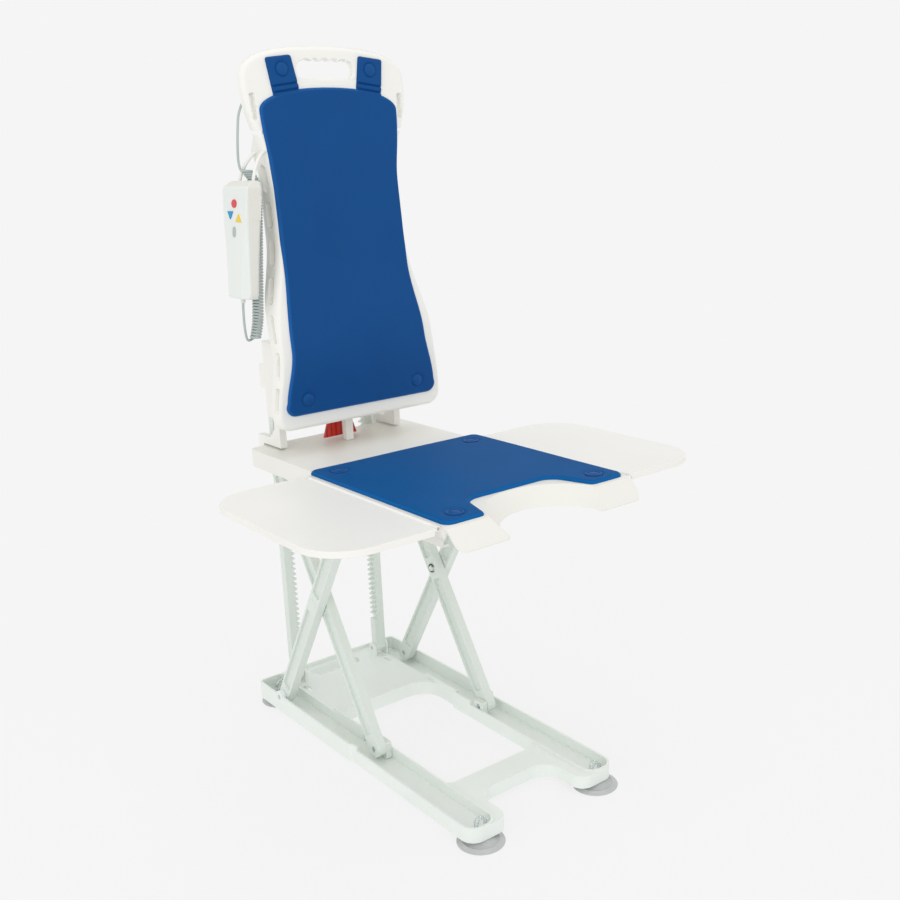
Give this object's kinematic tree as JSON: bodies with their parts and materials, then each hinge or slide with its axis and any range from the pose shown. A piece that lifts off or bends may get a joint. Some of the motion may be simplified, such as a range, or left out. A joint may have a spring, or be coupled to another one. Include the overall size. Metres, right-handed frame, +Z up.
{
  "type": "bath lift",
  "caption": "Battery bath lift: scissor legs on a suction-cup base raise a padded seat with folding side flaps; reclining backrest with rack drive and a hanging corded handset.",
  "frame": {"origin": "on the floor under the middle of the footprint of the whole lift, at rest with the seat up and the back upright", "axes": "+Z up, -Y the way the sitter faces, +X to the sitter's left"},
  "size_m": [0.674, 0.6599, 1.1109],
  "materials": {
    "base_plastic": "moulded, faint sheen",
    "cup_rubber": "matt",
    "clear_tab": "clear",
    "steel": "turned",
    "dark_steel": "blackened",
    "white_plastic": "moulded, faint sheen",
    "blue_cover": "fine woven face on foam",
    "blue_plastic": "moulded",
    "motor_steel": "zinc plated",
    "brass": "turned",
    "gear_nylon": "moulded",
    "board": "lacquered",
    "grey_plastic": "moulded",
    "red_plastic": "moulded",
    "cell_wrap": "shrink wrap",
    "stop_red": "moulded",
    "down_blue": "moulded",
    "up_yellow": "moulded",
    "cord_jacket": "matt jacket"
  },
  "bodies": {
    "base": {"base_frame": "base_plastic", "suction_cups": "cup_rubber", "pull_tabs": "clear_tab", "base_pivot_pins": "steel", "rack_axles": "steel"},
    "racks": {"left_rack": "base_plastic", "right_rack": "base_plastic"},
    "outer_legs": {"left_outer_leg": "base_plastic", "right_outer_leg": "base_plastic", "crossing_pins": "steel", "crossing_clips": "dark_steel", "upper_shoe_pins": "steel"},
    "upper_shoes": {"upper_shoes": "base_plastic"},
    "inner_legs": {"left_inner_leg": "base_plastic", "right_inner_leg": "base_plastic", "lower_shoe_pins": "steel"},
    "lower_shoes": {"lower_shoes": "base_plastic"},
    "seat": {"seat_shell": "white_plastic", "seat_pad": "blue_cover", "seat_studs": "blue_plastic", "seat_pivot_pins": "steel", "flap_pins": "steel", "recline_pins": "steel"},
    "left_flap": {"left_flap": "white_plastic"},
    "right_flap": {"right_flap": "white_plastic"},
    "backrest": {"back_shell": "white_plastic", "back_cover": "blue_cover", "cover_studs": "blue_plastic", "recline_arms": "white_plastic", "arm_screws": "steel", "back_stop": "white_plastic", "drive_housing": "white_plastic", "housing_screws": "steel", "motor": "motor_steel", "gear_axles": "steel", "control_board": "board", "cord_socket": "grey_plastic", "lever_pin": "steel", "handset_front": "white_plastic", "handset_back": "white_plastic", "handset_hook": "white_plastic", "handset_board": "board", "handset_battery": "cell_wrap", "indicator_light": "grey_plastic", "cord_gland": "grey_plastic", "handset_cord": "cord_jacket"},
    "worm": {"worm": "brass"},
    "left_gear": {"left_gear": "gear_nylon"},
    "right_gear": {"right_gear": "gear_nylon"},
    "release_lever": {"release_lever": "red_plastic"},
    "stop_button": {"stop_button": "stop_red"},
    "down_button": {"down_button": "down_blue"},
    "up_button": {"up_button": "up_yellow"}
  },
  "joints": [
    {"name": "lift", "type": "hinge", "parent": "base", "child": "outer_legs", "pos_m": [0, 0.239, 0.036], "axis": [1, 0, 0], "range_deg": [0, 57.1]},
    {"name": "scissor", "type": "hinge", "parent": "outer_legs", "child": "inner_legs", "pos_m": [0, 0.10895, 0.24657], "axis": [1, 0, 0], "range_deg": [-114.2, 0]},
    {"name": "seat_level", "type": "hinge", "parent": "inner_legs", "child": "seat", "pos_m": [0, 0.239, 0.45715], "axis": [1, 0, 0], "range_deg": [0, 57.1]},
    {"name": "lower_shoe_turn", "type": "hinge", "parent": "inner_legs", "child": "lower_shoes", "pos_m": [0, -0.02111, 0.036], "axis": [1, 0, 0], "range_deg": [0, 57.1]},
    {"name": "upper_shoe_turn", "type": "hinge", "parent": "outer_legs", "child": "upper_shoes", "pos_m": [0, -0.02111, 0.45715], "axis": [1, 0, 0], "range_deg": [-57.1, 0]},
    {"name": "left_flap_fold", "type": "hinge", "parent": "seat", "child": "left_flap", "pos_m": [-0.1696, -0.14, 0.48145], "axis": [0, 1, 0], "range_deg": [0, 85]},
    {"name": "right_flap_fold", "type": "hinge", "parent": "seat", "child": "right_flap", "pos_m": [0.1696, -0.14, 0.48145], "axis": [0, -1, 0], "range_deg": [0, 85]},
    {"name": "recline", "type": "hinge", "parent": "seat", "child": "backrest", "pos_m": [0, 0.272, 0.46078], "axis": [-1, 0, 0], "range_deg": [0, 40]},
    {"name": "rack_lean", "type": "hinge", "parent": "base", "child": "racks", "pos_m": [0, 0.272, 0.05], "axis": [-1, 0, 0], "range_deg": [0, 40]},
    {"name": "worm_spin", "type": "hinge", "parent": "backrest", "child": "worm", "pos_m": [0, 0.272, 0.59695], "axis": [0, 0, 1], "continuous": true},
    {"name": "left_gear_spin", "type": "hinge", "parent": "backrest", "child": "left_gear", "pos_m": [-0.0435, 0.272, 0.59695], "axis": [0, 1, 0], "continuous": true},
    {"name": "right_gear_spin", "type": "hinge", "parent": "backrest", "child": "right_gear", "pos_m": [0.0435, 0.272, 0.59695], "axis": [0, 1, 0], "continuous": true},
    {"name": "release", "type": "hinge", "parent": "backrest", "child": "release_lever", "pos_m": [0, 0.213, 0.52695], "axis": [-1, 0, 0], "range_deg": [0, 18], "stiffness_Nm_per_rad": 0.4, "springref_deg": -2.86},
    {"name": "stop_press", "type": "slide", "parent": "backrest", "child": "stop_button", "axis": [0.9962, 0, -0.0872], "range_m": [0, 0.001], "stiffness_N_per_m": 400, "springref_m": -0.0005},
    {"name": "down_press", "type": "slide", "parent": "backrest", "child": "down_button", "axis": [0.9962, 0, -0.0872], "range_m": [0, 0.001], "stiffness_N_per_m": 400, "springref_m": -0.0005},
    {"name": "up_press", "type": "slide", "parent": "backrest", "child": "up_button", "axis": [0.9962, 0, -0.0872], "range_m": [0, 0.001], "stiffness_N_per_m": 400, "springref_m": -0.0005}
  ],
  "couplings": [
    {"joint": "scissor", "follows": "lift", "ratio": -2},
    {"joint": "seat_level", "follows": "lift", "ratio": 1},
    {"joint": "lower_shoe_turn", "follows": "lift", "ratio": 1},
    {"joint": "upper_shoe_turn", "follows": "lift", "ratio": -1},
    {"joint": "rack_lean", "follows": "recline", "ratio": 1},
    {"joint": "left_gear_spin", "follows": "worm_spin", "ratio": 0.045455},
    {"joint": "right_gear_spin", "follows": "worm_spin", "ratio": -0.045455}
  ]
}
